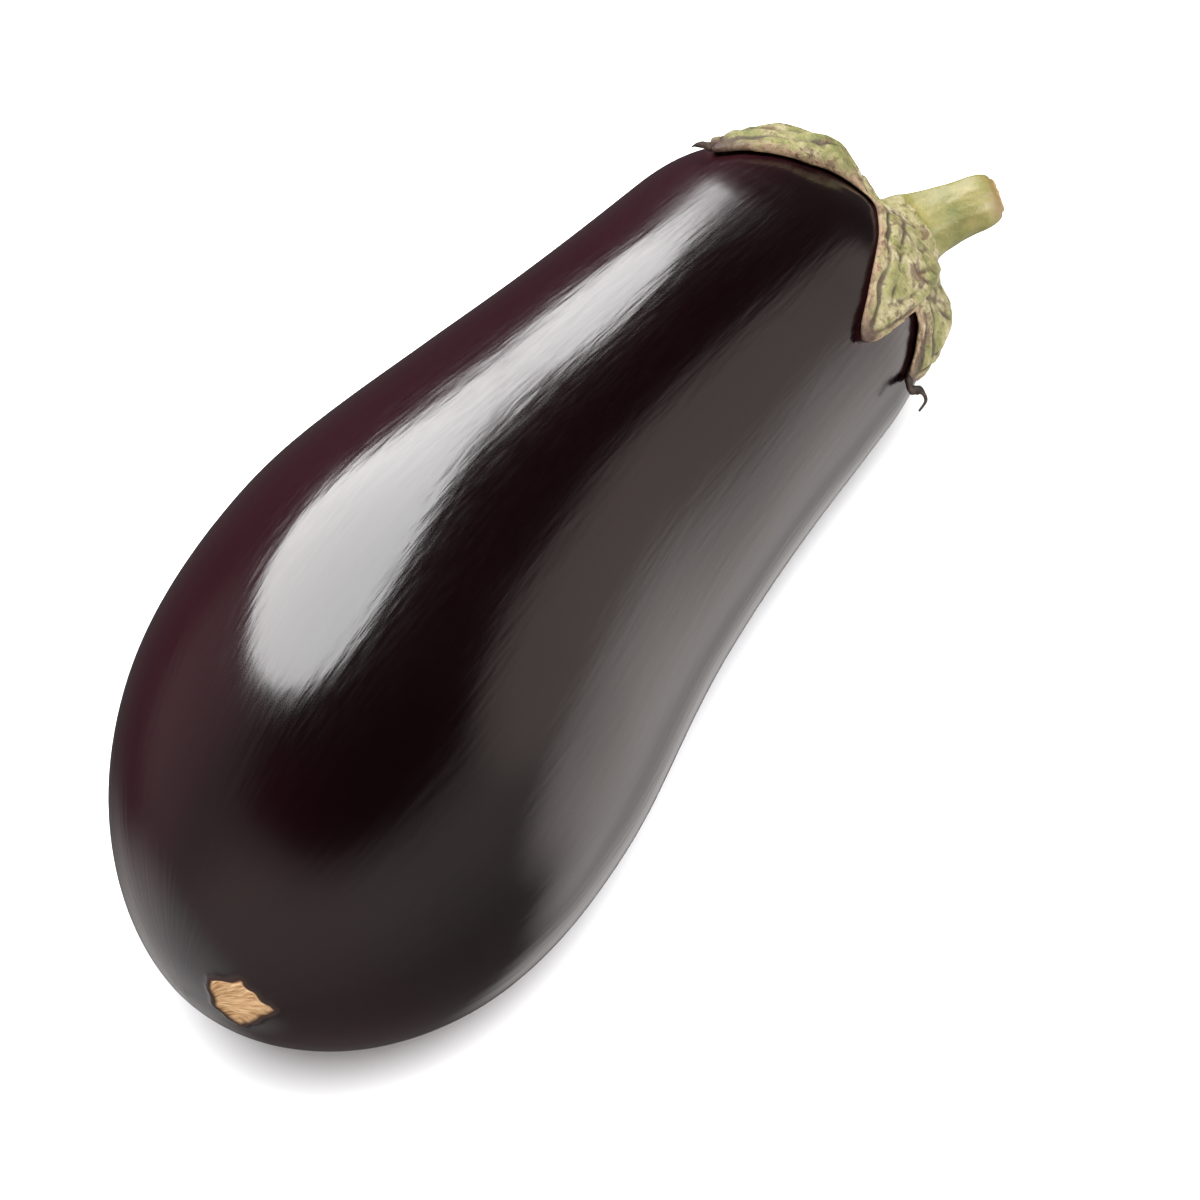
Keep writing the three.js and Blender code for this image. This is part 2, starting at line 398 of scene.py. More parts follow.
def corner_height(angle):
    """1 on each of the five corners, falling to 0 between them."""
    return bell(turned_from(angle[..., None], rib_angles), CORNER_WIDTH).sum(axis=-1)


def stem_frames(rows):
    """Points on the centre line with two directions square to it that don't twist."""
    line = cubic(*STEM_LINE, steps=rows)
    ahead = unit(np.gradient(line, axis=0))
    side = [np.array([0.0, 0.0, 1.0])]
    for direction in ahead:
        side.append(unit(side[-1] - direction * (side[-1] @ direction)))
    side = np.array(side[1:])
    return line, side, np.cross(side, ahead), ahead


stem_line, stem_side, stem_up, stem_ahead = stem_frames(STEM_ROWS)
share = np.linspace(0, 1, STEM_ROWS)[:, None]
stem_angle = np.broadcast_to(around, (STEM_ROWS, sides))
plain_radius = STEM_END_RADIUS + (STEM_ROOT_RADIUS - STEM_END_RADIUS) * (1 - share) ** 2
rib_size = STEM_RIB_END + (STEM_RIB_ROOT - STEM_RIB_END) * (1 - share) ** 1.5
stem_radius = plain_radius + rib_size * (corner_height(stem_angle) - 0.5)


def stem_points(radius):
    return (stem_line[:, None]
            + radius[..., None] * (np.cos(stem_angle)[..., None] * stem_side[:, None]
                                   + np.sin(stem_angle)[..., None] * stem_up[:, None]))


bare_stem = stem_points(stem_radius)
stretched = np.stack([4 * np.cos(stem_angle), 4 * np.sin(stem_angle), share * 5 + 0 * stem_angle], axis=-1)
fades_at_root = ease(0, 0.15, share)
rind = RIDGE_HEIGHT * lumps(stretched, RIDGE_SIZE) + LUMP_HEIGHT * lumps(bare_stem, LUMP_SIZE, 3.0)
stem_radius = stem_radius + fades_at_root * rind
before_end = np.clip((1 - share) / END_ROUNDING, 0, 1)
stem_radius = stem_radius * (1 - END_DROP * (1 - np.sqrt(1 - (1 - before_end) ** 2)))

# %% [markdown]
# The cut end is not a sharp disc: the rind has dried and drawn in round it, the wood ring inside it stands
# up, and the pith in the middle has sunk. These are a few more rings that shrink towards the middle,
# each a little higher or lower than the cut. The first ring of the stem is also the first ring of the calyx's
# collar, so the two grown pieces meet without a step.

# %% The stem's mesh, with its cut end
CUT_STEPS = [(0.97, 0.22), (0.92, 0.42), (0.85, 0.55), (0.77, 0.60), (0.69, 0.48), (0.62, 0.40), (0.54, 0.50),
             (0.46, 0.48), (0.36, 0.20), (0.24, -0.05), (0.12, -0.15)]
shaft = stem_points(stem_radius)
end_middle, end_ahead = stem_line[-1], stem_ahead[-1]
cut_rings = []
for shrink, rise in CUT_STEPS:
    ring = end_middle + (shaft[-1] - end_middle) * shrink + end_ahead * rise
    cut_rings.append(ring + end_ahead * (0.16 * lumps(ring, 0.8))[:, None])
stem_rings = np.concatenate([shaft, np.array(cut_rings)])
along_stem = np.concatenate([np.broadcast_to(share, stem_angle.shape), np.ones((len(CUT_STEPS), sides))])
cut_face = np.concatenate([
    np.zeros(stem_angle.shape),
    np.array([1 - shrink for shrink, _ in CUT_STEPS])[:, None] + np.zeros((1, sides)),
])
stalk = ring_mesh(
    "stalk", stem_rings, stem_line[0] + stem_ahead[0] * 0.3, end_middle - end_ahead * 0.15,
    {"along": along_stem, "cut": cut_face},
)
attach(stalk, "root")
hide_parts("stem")

# %% [markdown]
# ## The calyx
#
# The calyx is a leathery cap, about 4 mm thick at its crown and 1 mm at the rim. Its outer face carries a
# midrib to each tip, swells between the ribs, dips towards each notch, and has three humps where the drying
# leaf buckled. Cloth simulation could crumple a sheet, but the ribs and the thick crown wouldn't survive it,
# so the heights are worked out: every term below is one thing that can be seen on the real calyx.

# %% Heights of the calyx over the skin
GAP = 0.3
CROWN_THICKNESS, RIM_THICKNESS, THINNING = 4.0, 0.9, 0.8
PUFF = 0.8
# For each tip in turn: how high its midrib stands, and how far it has curled up
RIB_HEIGHTS, RIB_WIDTH = [1.2, 1.0, 1.2, 1.0, 1.9], 2.3
TIP_LIFTS, TIP_WIDTH = [0.8, 0.6, 0.0, 0.2, 0.2], 0.2
NOTCH_DIP, NOTCH_WIDTH = 0.6, 2.6
RIM_LIFT = 0.25
# Humps: by the notch on the near side, on the sepal that goes over the fruit's right edge, and a wide one on
# the upper sepal. For each, its place on the unrolled skin, its size and its height
HUMPS = [((-10, 19), 6.0, 3.2), ((25, 13), 5.5, 1.0), ((-20, 18), 8.0, 1.3)]


def lift(share, column):
    """How far the underside has curled up off the skin, growing towards the rim and the tips."""
    place = np.stack([3 * np.cos(column), 3 * np.sin(column), 0 * column], axis=-1)
    raised = RIM_LIFT * (1 + 0.8 * lumps(place, 1.0, 6.0)) * share**3
    for tip, height in zip(rib_angles, TIP_LIFTS):
        raised = raised + height * bell(turned_from(column, tip), TIP_WIDTH) * share**8
    return raised


def outer_height(share, flat):
    column, away = from_hub(flat)
    thickness = CROWN_THICKNESS + (RIM_THICKNESS - CROWN_THICKNESS) * share**THINNING
    height = GAP + lift(share, column) + thickness + PUFF * np.sin(math.pi * share) ** 2
    for tip, rib in zip(rib_angles, RIB_HEIGHTS):
        height = height + rib * (1 - share) ** 0.6 * bell(turned_from(column, tip) * away, RIB_WIDTH)
    for notch in mark_angles[:-1:2]:
        dip = NOTCH_DIP * ease(0.45, 1, share)
        height = height - dip * bell(turned_from(column, notch) * away, NOTCH_WIDTH)
    for middle, size, rise in HUMPS:
        height = height + rise * bell(np.linalg.norm(flat - np.array(middle), axis=-1), size)
    return height


# %% [markdown]
# The calyx has wrinkled, because it dried after the harvest. Soft waves are smooth random heights of several
# sizes. A sharp crease follows the line where such heights cross zero, and comes and goes along it. Just
# inside the rim the leaf has shrunk into folds, each of which keeps roughly its own distance from the rim.

# %% Wrinkles of the dried leaf: soft waves, sharp creases, and folds along the rim
# Each wave by its height, its size, and a shift that sets it apart from the others
WAVES = [(0.42, 7.5, 0.0), (0.26, 3.2, 5.0), (0.16, 1.7, 9.0)]
LONG_WAVE, DRAWN_LONG = (0.3, 2.4, 1.0), 5
# Each crease by its depth, its width, the heights that it follows, and the ones that make it come and go
CREASES = [(0.3, 0.08, (7.0, 3.0), (5.0, 13.0)), (0.25, 0.12, (2.8, 7.0), (6.0, 15.0))]
# Each fold by its height, its distance from the rim and its width
FOLDS = [(0.35, 3.3, 0.7), (-0.55, 1.9, 0.5), (-0.35, 5.0, 0.45)]


def wrinkles(down, angle, rim_mm):
    place = over_skin(down, 0, angle)
    radius = skin_at(down)[0]
    lengthwise = np.stack([radius * np.cos(angle), radius * np.sin(angle), down / DRAWN_LONG], axis=-1)
    waves = LONG_WAVE[0] * lumps(lengthwise, *LONG_WAVE[1:])
    for height, size, shift in WAVES:
        waves = waves + height * lumps(place, size, shift)
    creases = 0 * waves
    for depth, width, follows, fades in CREASES:
        creases = creases - depth * bell(lumps(place, *follows), width) * (0.6 + lumps(place, *fades))
    wandering = rim_mm + 0.9 * lumps(place, 5.0, 2.0)
    come_and_go = 0.8 + 0.9 * lumps(place, 6.0, 11.0)
    folds = come_and_go * sum(height * bell(wandering - away, width) for height, away, width in FOLDS)
    return waves, creases + folds


# %% [markdown]
# Near the stem the outer face leaves the skin's shape and sweeps up into the stem. Each column of points
# does that along its own short curve, from the stem's first ring to a place on the crown, level with the
# surface at both ends. Then come the rows down to the rim, a few rows round the rim's rolled edge, and the
# rows of the underside back to the hub.

# %% Rows of the calyx, from the collar over the rim to the underside
COLLAR_ROWS, OUTER_ROWS, EDGE_ROWS, UNDER_ROWS = 18, 100, 7, 30
JOIN_AWAY = 11
# How strongly the collar leaves along the stem and outwards, and how strongly it arrives along the crown
START_PULL, START_FLARE, END_PULL = 5, 0.3, 6
LEAST_THICKNESS, LEAST_BULGE = 0.5, 0.4


def hermite(start, start_lead, end, end_lead, t):
    """A curve from one point to another that leaves and arrives along two leads."""
    return ((2 * t**3 - 3 * t**2 + 1) * start + (t**3 - 2 * t**2 + t) * start_lead
            + (3 * t**2 - 2 * t**3) * end + (t**3 - t**2) * end_lead)


outward = np.stack([np.cos(around), np.sin(around)], axis=-1)

join_share = JOIN_AWAY / column_length
outer_share = join_share + (1 - join_share) * np.linspace(0, 1, OUTER_ROWS)[:, None]
outer_flat = HUB + (outer_share * column_length)[..., None] * outward
outer_down, outer_angle = reach_and_angle(outer_flat)
outer_rim_mm = np.abs(inside_by(outer_flat, rim_flat))
waves, creases = wrinkles(outer_down, outer_angle, outer_rim_mm)
past_join = ease(0, 0.25, (outer_share - join_share) / (1 - join_share))
outer_up = outer_height(outer_share, outer_flat) + (waves + creases) * past_join
outer_up = np.maximum(outer_up, GAP + lift(outer_share, around) + LEAST_THICKNESS)
outer_face = over_skin(outer_down, outer_up, outer_angle)

start_lead = -stem_ahead[0] * START_PULL + (shaft[0] - stem_line[0]) * START_FLARE
end_lead = unit(outer_face[1] - outer_face[0]) * END_PULL
t = np.linspace(0, 1, COLLAR_ROWS, endpoint=False)[:, None, None]
collar = hermite(shaft[0], start_lead, outer_face[0], end_lead, t)

under_share = np.linspace(1, 0.02, UNDER_ROWS)[:, None] + 0 * column_length
under_flat = HUB + (under_share * column_length)[..., None] * outward
under_up = GAP + lift(under_share, around)
under_face = over_sheet(under_flat, under_up)

turn = np.linspace(math.pi / 2, -math.pi / 2, EDGE_ROWS + 2)[1:-1, None]
middle_up, half = (outer_up[-1] + under_up[0]) / 2, (outer_up[-1] - under_up[0]) / 2
edge_flat = rim_flat + (np.maximum(half, LEAST_BULGE) * np.cos(turn))[..., None] * outward
edge = over_sheet(edge_flat, middle_up + half * np.sin(turn))

# %% [markdown]
# The mesh carries four values for its material: the distance to the rim, measured round the rim's own edge
# so that a thick edge isn't all tan, how near each place is to a tip, which side it is on, and how deep it
# lies in a crease, which the material turns into painted shade.

# %% The calyx's mesh
FAR_FROM_RIM, TIP_SHARE = 20.0, 0.75
calyx_rings = np.concatenate([collar, outer_face, edge, under_face])
rim_thick = 2 * half
to_rim = np.concatenate([
    np.full((COLLAR_ROWS, sides), FAR_FROM_RIM), outer_rim_mm + rim_thick,
    rim_thick * (1 + np.sin(turn)) / 2, np.abs(inside_by(under_flat, rim_flat)),
])
column_share = np.concatenate([
    np.zeros((COLLAR_ROWS, sides)), outer_share, np.ones((EDGE_ROWS, sides)), under_share])
tip_mask = (1 - from_tip) * ease(TIP_SHARE, 1, column_share)
underneath, crease_shade_mask = np.zeros((2, *to_rim.shape))
underneath[-UNDER_ROWS:] = 1
# How deep each place lies in a crease or a fold: the material paints shade there, darker the deeper
crease_shade_mask[COLLAR_ROWS:COLLAR_ROWS + OUTER_ROWS] = creases * past_join
calyx_cap = ring_mesh(
    "calyx_cap", calyx_rings, stem_line[0] - stem_ahead[0] * 0.3, over_sheet(HUB, GAP),
    {"to_rim": to_rim, "tip": tip_mask, "under": underneath, "crease": crease_shade_mask},
)
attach(calyx_cap, "root")
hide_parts("calyx")

# %% [markdown]
# ## The dried threads at the sepal tips
#
# Each sepal ends in a thread that has withered to a dark, curled wire. They are thin tubes that start inside
# the tip and taper towards a fine end. Their routes are short lists of points: the one on the
# near sepal hooks outwards over the edge of the fruit, and the others curl up or lie along the skin.

# %% Thin tapering tubes along smooth routes
THREAD_SIDES, THREAD_STEPS = 10, 9
# How far inside the tip a thread starts, and how far below its first point
THREAD_HIDDEN, THREAD_SUNK = 3.5, 0.6
THREAD_TAPER, THREAD_FLATNESS = 0.8, 0.6
# For each tip: where the thread starts (reach, height, angle), its radius, and steps from there in X, Y and Z
THREADS = [
    ((42.6, 0.8, 30), 1.4, [
        (-1.0, 0.3, 0.6), (-1.7, 0.4, 1.8), (-0.6, 0.4, 3.2), (-1.2, 0.3, 5.0), (-3.4, -0.3, 5.5)]),
    ((37.0, 1.2, 146), 1.1, [
        (-1.2, 0.4, -0.9), (-2.2, 0.6, -2.2), (-3.2, 0.6, -3.0), (-3.9, 0.2, -3.4)]),
    ((48.4, 0.9, 58), 0.5, [(-1.4, 0.3, 0.0), (-2.6, 0.2, -0.5)]),
    ((44.5, 1.8, -131), 0.6, [
        (-2.0, -0.8, -0.2), (-4.2, -0.8, 0.4), (-5.4, -2.0, 1.6), (-4.6, -3.4, 2.4)]),
    ((42.5, 1.0, -53), 0.5, [(-1.6, 0.0, 0.3), (-3.4, 0.3, 0.2), (-4.6, 1.0, 0.8)]),
]


def smooth_route(points):
    """A curve through all the points, by blending each pair with the slope of its neighbours."""
    points = np.array(points)
    slope = np.gradient(points, axis=0)
    route = []
    for i in range(len(points) - 1):
        for t in np.linspace(0, 1, THREAD_STEPS, endpoint=i == len(points) - 2):
            route.append(hermite(points[i], slope[i], points[i + 1], slope[i + 1], t))
    return np.array(route)


thread_pieces = []
for number, ((down, up, degrees), thick, steps) in enumerate(THREADS, start=1):
    start = over_skin(down, up, math.radians(degrees))
    inside = over_skin(down - THREAD_HIDDEN, up - THREAD_SUNK, math.radians(degrees))
    route = smooth_route([inside, start] + [start + np.array(step) for step in steps])
    lead = unit(np.gradient(route, axis=0))
    across = unit(np.cross(lead, (0.3, 0.5, 0.8)))
    upright = THREAD_FLATNESS * np.cross(lead, across)
    spin = all_round(THREAD_SIDES)[:, None]
    taper = thick * (1 - np.linspace(0, 1, len(route)) ** 1.4 * THREAD_TAPER)
    taper = taper * (1 + 0.25 * lumps(route, 1.1))
    rings = route[:, None] + taper[:, None, None] * (
        np.cos(spin) * across[:, None] + np.sin(spin) * upright[:, None])
    thread = ring_mesh(f"dry_tip_{number}", rings[:, ::-1], route[0], route[-1], {})
    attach(thread, "root")
    thread_pieces.append(thread)

# %% [markdown]
# ## One way to add a shader node
#
# A material here is a list of nodes, each added by the same small function: the node's kind, its own
# settings, and what goes into its sockets, which is a number or another node's output. The kinds that come
# back often get a short function of their own: values from the mesh, noise, sums, ramps, mixes and relief.
# Colours are given as the hex values that a colour picker shows, and one function turns them into the linear
# values that light is computed with.

# %% Helpers for colours and nodes
# Object coordinates are in metres, so a pattern this dense has one feature in a millimetre
PER_MM = 1 / MM


def linear(hex_colour):
    parts = [int(hex_colour[i:i + 2], 16) / 255 for i in (1, 3, 5)]
    return (*(p / 12.92 if p <= 0.04045 else ((p + 0.055) / 1.055) ** 2.4 for p in parts), 1)


def plug(tree, socket, value):
    """Links a node's output to a socket, or sets the socket's own value."""
    if isinstance(value, bpy.types.NodeSocket):
        tree.links.new(value, socket)
    else:
        socket.default_value = value


def add_node(tree, kind, settings=None, inputs=None):
    node = tree.nodes.new("ShaderNode" + kind)
    for name, value in (settings or {}).items():
        if name == "stops":
            ramp = node.color_ramp
            while len(ramp.elements) < len(value):
                ramp.elements.new(0.5)
            for element, (position, colour) in zip(ramp.elements, value):
                element.position, element.color = position, colour
        else:
            setattr(node, name, value)
    for name, value in (inputs or {}).items():
        if isinstance(name, int):
            socket = node.inputs[name]
        else:
            socket = next(s for s in node.inputs if s.enabled and name in (s.identifier, s.name))
        plug(tree, socket, value)
    return node


def value_at(tree, name, output="Fac"):
    """A value that was stored on the mesh's points."""
    return add_node(tree, "Attribute", {"attribute_name": name}).outputs[output]


def noise_at(tree, place, scale, detail, roughness=0.5, distortion=0.0):
    return add_node(tree, "TexNoise", inputs={
        "Vector": place, "Scale": scale, "Detail": detail, "Roughness": roughness,
        "Distortion": distortion}).outputs["Fac"]


def calculate(tree, operation, *values):
    return add_node(tree, "Math", {"operation": operation}, dict(enumerate(values))).outputs["Value"]


def smooth_share(tree, value, low, high, most=1.0):
    """0 at the low value, rising smoothly to the most at the high one. The low one may be the larger."""
    return add_node(tree, "MapRange", {"interpolation_type": "SMOOTHSTEP"}, {
        "Value": value, "From Min": low, "From Max": high, "To Max": most}).outputs["Result"]


def spread(tree, value, low, high, to_low, to_high):
    """Values from one range in proportion over another."""
    return add_node(tree, "MapRange", inputs={
        "Value": value, "From Min": low, "From Max": high,
        "To Min": to_low, "To Max": to_high}).outputs["Result"]


def colour_ramp(tree, value, stops):
    return add_node(tree, "ValToRGB", {"stops": stops}, {"Fac": value}).outputs["Color"]


def hex_ramp(tree, value, *stops):
    return colour_ramp(tree, value, [(position, linear(colour)) for position, colour in stops])


def mixed(tree, share, colour, other):
    return add_node(tree, "Mix", {"data_type": "RGBA"}, {
        "Factor_Float": share, "A_Color": colour, "B_Color": other}).outputs["Result"]


def relief(tree, height, deep, under=None):
    """Bumps this many millimetres deep, on top of the ones under them."""
    inputs = {"Height": height, "Strength": 1.0, "Distance": deep * MM}
    if under is not None:
        inputs["Normal"] = under
    return add_node(tree, "Bump", inputs=inputs).outputs["Normal"]


def new_material(name):
    material = bpy.data.materials.new(name)
    material.use_nodes = True
    return material, material.node_tree, material.node_tree.nodes["Principled BSDF"]


def feed(tree, shader, **inputs):
    """Links or sets the shader's sockets, named with _ for a space."""
    for name, value in inputs.items():
        plug(tree, shader.inputs[name.replace("_", " ")], value)


# %% [markdown]
# ## Aubergine skin
#
# The skin is a living cuticle: a layer of natural wax, about as smooth as satin varnish, over cells full of
# purple pigment. The wax gives the clear reflections (IOR about 1.45), and the pigment is so dark that
# little else is seen. The pigment thins to wine red where the sun reached less, and to a paler red brown
# under the sepals. Fine lengthwise striations, about 0.8 mm apart, and longer streaks that slant across them
# feather the edges of every highlight. Near the calyx the wax keeps a thin bloom, which is rougher. The scar
# is cork: tan, dull and rough.

# %% The skin's material
# The size of each pattern across the fruit, how much longer it is drawn, and its depth, in millimetres
STRIATION_MM, STRIATION_DRAWN_LONG, STRIATION_DEEP = 0.8, 7, 0.022
STREAK_MM, STREAK_DRAWN_LONG, STREAK_DEEP = 1.9, 6, 0.05
STREAK_SLANT = math.radians(20)
CLOUD_MM, CORK_MM, CORK_DEEP, CORK_ROUGH = 26, 1.6, 0.4, 0.8
WAX_ROUGH, BLOOM_STATIONS, BLOOM_ROUGH = (0.12, 0.18), (146, 170), 0.05
skin_wax, tree, shader = new_material("waxed_aubergine_skin")
grain_at = value_at(tree, "grain", "Vector")
scar_at = value_at(tree, "scar")

# Pigment: near black on the sunny side, wine red on the other, both a little cloudy
cloud = noise_at(tree, grain_at, 1 / CLOUD_MM, 3)
cloudy = calculate(tree, "MULTIPLY_ADD", cloud, 0.35, -0.175)
redness = calculate(tree, "ADD", cloudy, value_at(tree, "blush"))
pigment = hex_ramp(tree, redness, (0.0, "#0A0203"), (0.4, "#130407"), (1.0, "#1E070D"))
shaded = smooth_share(tree, value_at(tree, "past_rim"), 3.0, 0.0)
under_sepals = mixed(tree, shaded, pigment, linear("#2E1418"))

# Cork of the scar, with a dark brown edge
cork_noise = noise_at(tree, grain_at, 1 / CORK_MM, 4, 0.65)
cork = hex_ramp(tree, cork_noise, (0.34, "#8A6136"), (0.5, "#C29A68"), (0.66, "#DDBD92"))
cork_edge = smooth_share(tree, scar_at, -1.2, -0.1)
cork_inside = smooth_share(tree, scar_at, -0.1, 0.5)
browned = mixed(tree, cork_edge, under_sepals, linear("#3A1F0E"))
skin_colour = mixed(tree, cork_inside, browned, cork)

# Striations and streaks: noise stretched along the fruit
squeezed = add_node(tree, "Mapping", inputs={
    "Vector": grain_at, "Scale": (1, 1, 1 / STRIATION_DRAWN_LONG)}).outputs["Vector"]
striation = noise_at(tree, squeezed, 1 / STRIATION_MM, 2, 0.6)
slanted = add_node(tree, "Mapping", inputs={
    "Vector": grain_at, "Rotation": (STREAK_SLANT, -STREAK_SLANT, 0),
    "Scale": (1, 1, 1 / STREAK_DRAWN_LONG)}).outputs["Vector"]
streak = noise_at(tree, slanted, 1 / STREAK_MM, 1)
streak_relief = relief(tree, streak, STREAK_DEEP)
striation_relief = relief(tree, striation, STRIATION_DEEP, streak_relief)
cork_height = calculate(tree, "MULTIPLY", cork_noise, cork_edge)
cork_relief = relief(tree, cork_height, CORK_DEEP, striation_relief)

# Roughness: the wax, the bloom over it near the calyx, and the cork
wax_rough = spread(tree, striation, 0.3, 0.7, *WAX_ROUGH)
station_at = add_node(tree, "SeparateXYZ", inputs={0: grain_at}).outputs["Z"]
bloom_rough = smooth_share(tree, station_at, *BLOOM_STATIONS, BLOOM_ROUGH)
rough = add_node(tree, "Mix", {"data_type": "FLOAT"}, {
    "Factor_Float": cork_edge, "A_Float": calculate(tree, "ADD", wax_rough, bloom_rough),
    "B_Float": CORK_ROUGH}).outputs["Result"]
feed(tree, shader, Base_Color=skin_colour, Roughness=rough, Normal=cork_relief, IOR=1.45)
fruit_skin.data.materials.append(skin_wax)

# %% [markdown]
# ## Sepal tissue
#
# A sepal is a tough leaf: matt, and yellow-green where it is still fresh. It dries from the outside in, so
# the rim is pale tan and the tips are dark brown. Brown specks of about 1.5 mm and rusty patches of 2 to 5 mm
# sit on the green, and the creases are painted dark as painted shade, the deeper the darker. Each of these is
# a layer that covers part of the ones under it. Roughness is about 0.6, as on a dry leaf.

# %% The calyx's material
MOTTLE_MM, RUST_MM, SPECK_MM, VEIN_MM, VEIN_DEEP = 4.5, 4.5, 1.5, 1.1, 0.6
LEAF_ROUGH = (0.5, 0.68)
sepal_leaf, tree, shader = new_material("dried_sepal_leaf")
place = add_node(tree, "TexCoord").outputs["Object"]
mottle = noise_at(tree, place, PER_MM / MOTTLE_MM, 5, 0.68)
rust = noise_at(tree, place, PER_MM / RUST_MM, 4, 0.7, distortion=0.6)
speck = noise_at(tree, place, PER_MM / SPECK_MM, 3, 0.65)
vein = noise_at(tree, place, PER_MM / VEIN_MM, 4, 0.7)
uneven_rim = calculate(tree, "MULTIPLY_ADD", speck, -7.0, value_at(tree, "to_rim"))
leaf_colour = hex_ramp(
    tree, mottle, (0.34, "#4B4F27"), (0.46, "#636136"), (0.54, "#736D4C"), (0.66, "#877F65"))
for covered, colour in [
    (smooth_share(tree, uneven_rim, -1.3, -2.4), "#75614A"),  # the tan rim
    (smooth_share(tree, speck, 0.54, 0.64, 0.75), "#483A22"),  # specks
    # Painted shade: the creases and the folds by the rim are painted dark brown, darker the deeper they are
    (smooth_share(tree, value_at(tree, "crease"), -0.08, -0.38, 0.9), "#33271A"),  # creases
    (smooth_share(tree, rust, 0.545, 0.66, 0.75), "#3F2A18"),  # rusty patches
    (smooth_share(tree, value_at(tree, "tip"), 0.72, 0.97), "#35241A"),  # the tips
    (value_at(tree, "under"), "#5C5238"),  # the underside
]:
    leaf_colour = mixed(tree, covered, leaf_colour, linear(colour))
leaf_rough = spread(tree, mottle, 0.3, 0.7, *LEAF_ROUGH)
leaf_relief = relief(tree, vein, VEIN_DEEP)
feed(tree, shader, Base_Color=leaf_colour, Roughness=leaf_rough, Normal=leaf_relief, IOR=1.42)
calyx_cap.data.materials.append(sepal_leaf)

# %% [markdown]
# ## Stem rind
#
# The stem's rind is the same tissue, smoother and yellower, with fine bumps where its fibres run. Around the
# cut it has browned. The cut face shows a pale ring of wood and a darker, corky pith.

# %% The stem's material
PATCH_MM, FIBRE_MM, FIBRE_DEEP = 6, 0.9, 0.18
stem_rind, tree, shader = new_material("cut_stem_rind")
place = add_node(tree, "TexCoord").outputs["Object"]
cut_at = value_at(tree, "cut")
mottle = noise_at(tree, place, PER_MM / PATCH_MM, 5, 0.6)
fibre = noise_at(tree, place, PER_MM / FIBRE_MM, 3, 0.65)
rind_colour = hex_ramp(
    tree, mottle, (0.32, "#4B4F24"), (0.48, "#5D592C"), (0.62, "#696237"), (0.74, "#756D49"))
brown_edge = calculate(tree, "MULTIPLY_ADD", mottle, 0.16, value_at(tree, "along"))
aged = mixed(tree, smooth_share(tree, brown_edge, 0.98, 1.1, 0.8), rind_colour, linear("#5E492C"))
wood = hex_ramp(
    tree, cut_at, (0.0, "#6A5636"), (0.12, "#7A6540"), (0.26, "#A0916C"), (0.40, "#8B7A55"),
    (0.48, "#5F4828"), (0.64, "#74603E"), (0.9, "#453018"))
stem_colour = mixed(tree, smooth_share(tree, cut_at, 0.005, 0.06), aged, wood)
feed(tree, shader, Base_Color=stem_colour, Roughness=0.5, Normal=relief(tree, fibre, FIBRE_DEEP), IOR=1.42)
stalk.data.materials.append(stem_rind)

# %% [markdown]
# ## Withered threads
#
# The threads have dried right through, to a blackish brown that is a little paler in places. They are rougher
# than the leaf, because nothing of its wax is left.

# %% The withered threads' material
WITHERED_MM, WITHERED_DEEP = 1.5, 0.1
withered, tree, shader = new_material("withered_thread")
place = add_node(tree, "TexCoord").outputs["Object"]
mottle = noise_at(tree, place, PER_MM / WITHERED_MM, 3)
dry = hex_ramp(tree, mottle, (0.35, "#120C08"), (0.6, "#2A1C13"), (0.75, "#4A3826"))
feed(tree, shader, Base_Color=dry, Roughness=0.75, Normal=relief(tree, mottle, WITHERED_DEEP), IOR=1.4)
for thread in thread_pieces:
    thread.data.materials.append(withered)

# %% [markdown]
# ## The camera
#
# The photograph's outline was matched with a 135 mm lens about 78 cm away. The camera sees the fruit's axis
# tilted 22 degrees, with the blossom end nearer, and the frame is turned so that the fruit runs from
# lower left to upper right. A point on the axis, 50 mm from the blossom end, sits where it does in the
# photograph. With those few numbers the camera's three axes follow from the fruit's.

# %% Place the camera by the fruit's own axes
PHOTO_SIDE = 1200
LENS, SENSOR = 135, 36
VIEW_DISTANCE = 781
AXIS_TILT, FRAME_TURN = math.radians(22), math.radians(45.6)
ANCHOR_STATION = 50
ANCHOR_PIXEL = (327.3, 745.0)
focal_pixels = LENS / SENSOR * PHOTO_SIDE
axis, up, side = np.eye(3)
back = -math.sin(AXIS_TILT) * axis + math.cos(AXIS_TILT) * up
in_picture = math.cos(AXIS_TILT) * axis + math.sin(AXIS_TILT) * up
right = math.cos(FRAME_TURN) * in_picture + math.sin(FRAME_TURN) * side
top = math.sin(FRAME_TURN) * in_picture - math.cos(FRAME_TURN) * side
shift_right = (PHOTO_SIDE / 2 - ANCHOR_PIXEL[0]) / focal_pixels * VIEW_DISTANCE
shift_top = (ANCHOR_PIXEL[1] - PHOTO_SIDE / 2) / focal_pixels * VIEW_DISTANCE
eye = ANCHOR_STATION * axis + VIEW_DISTANCE * back + shift_right * right + shift_top * top

camera_data = bpy.data.cameras.new("camera")
camera_data.lens, camera_data.sensor_width = LENS, SENSOR
camera = bpy.data.objects.new("camera", camera_data)
bpy.context.scene.collection.objects.link(camera)
turned = np.stack([right, top, back], axis=-1)
placement = np.eye(4)
placement[:3, :3] = roll_then_lean @ turned
placement[:3, 3] = (roll_then_lean @ eye + set_down) * MM
camera.matrix_world = Matrix(placement.tolist())
bpy.context.scene.camera = camera
print("camera elevation:", round(math.degrees(math.asin((roll_then_lean @ back)[2])), 1), "degrees")

# %% [markdown]
# ## The floor
#
# The floor is a matt white sweep, lit so brightly that it turns pure white a little way from the fruit. It is
# left out of the reflections: a sweep this bright would draw a pale line round the dark skin, and
# the photographer kept it out with black cards. The walls' lower half stands in for it.

